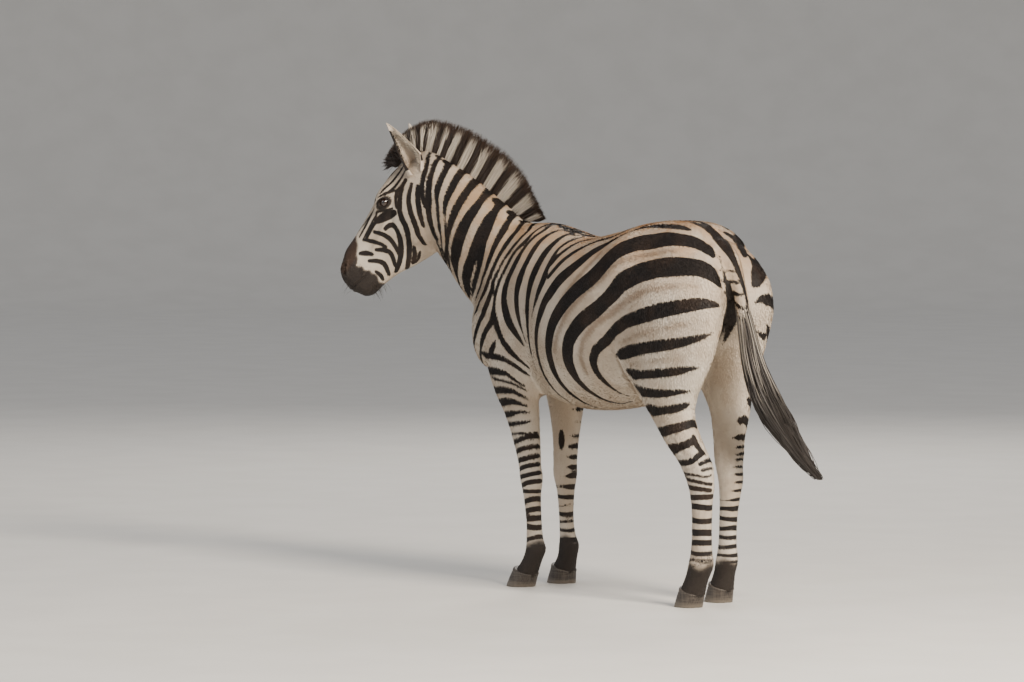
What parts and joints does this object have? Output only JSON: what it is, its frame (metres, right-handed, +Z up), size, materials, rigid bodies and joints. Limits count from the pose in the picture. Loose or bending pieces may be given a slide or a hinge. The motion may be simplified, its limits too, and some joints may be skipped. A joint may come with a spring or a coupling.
{
  "type": "zebra",
  "caption": "Life-size standing plains zebra with its head turned to its left, upright mane and hanging tail.",
  "frame": {"origin": "centre of the bounding box, on the floor under the soles", "axes": "+X points from the head to the tail, -Y is the animal's left side, +Z up"},
  "size_m": [2.0643, 0.6356, 1.662],
  "materials": {
    "coat": "short flat hair in black-brown and cream stripes",
    "mane_hair": "stiff upright hair, striped, dark at the free edge",
    "tail_hair": "long coarse hair, dark with lighter strands",
    "horn": "dull dark horn, dusty at the edge",
    "eye": "wet, very dark brown"
  },
  "bodies": {
    "root": {"trunk": "coat", "neck": "coat", "head": "coat", "mane": "mane_hair", "tail_dock": "coat", "tail_tuft": "tail_hair", "ear_left": "coat", "ear_right": "coat", "eye_left": "eye", "eye_right": "eye", "fore_left_upper_leg": "coat", "fore_left_lower_leg": "coat", "fore_left_hoof": "horn", "fore_right_upper_leg": "coat", "fore_right_lower_leg": "coat", "fore_right_hoof": "horn", "hind_left_upper_leg": "coat", "hind_left_lower_leg": "coat", "hind_left_hoof": "horn", "hind_right_upper_leg": "coat", "hind_right_lower_leg": "coat", "hind_right_hoof": "horn"}
  },
  "joints": []
}
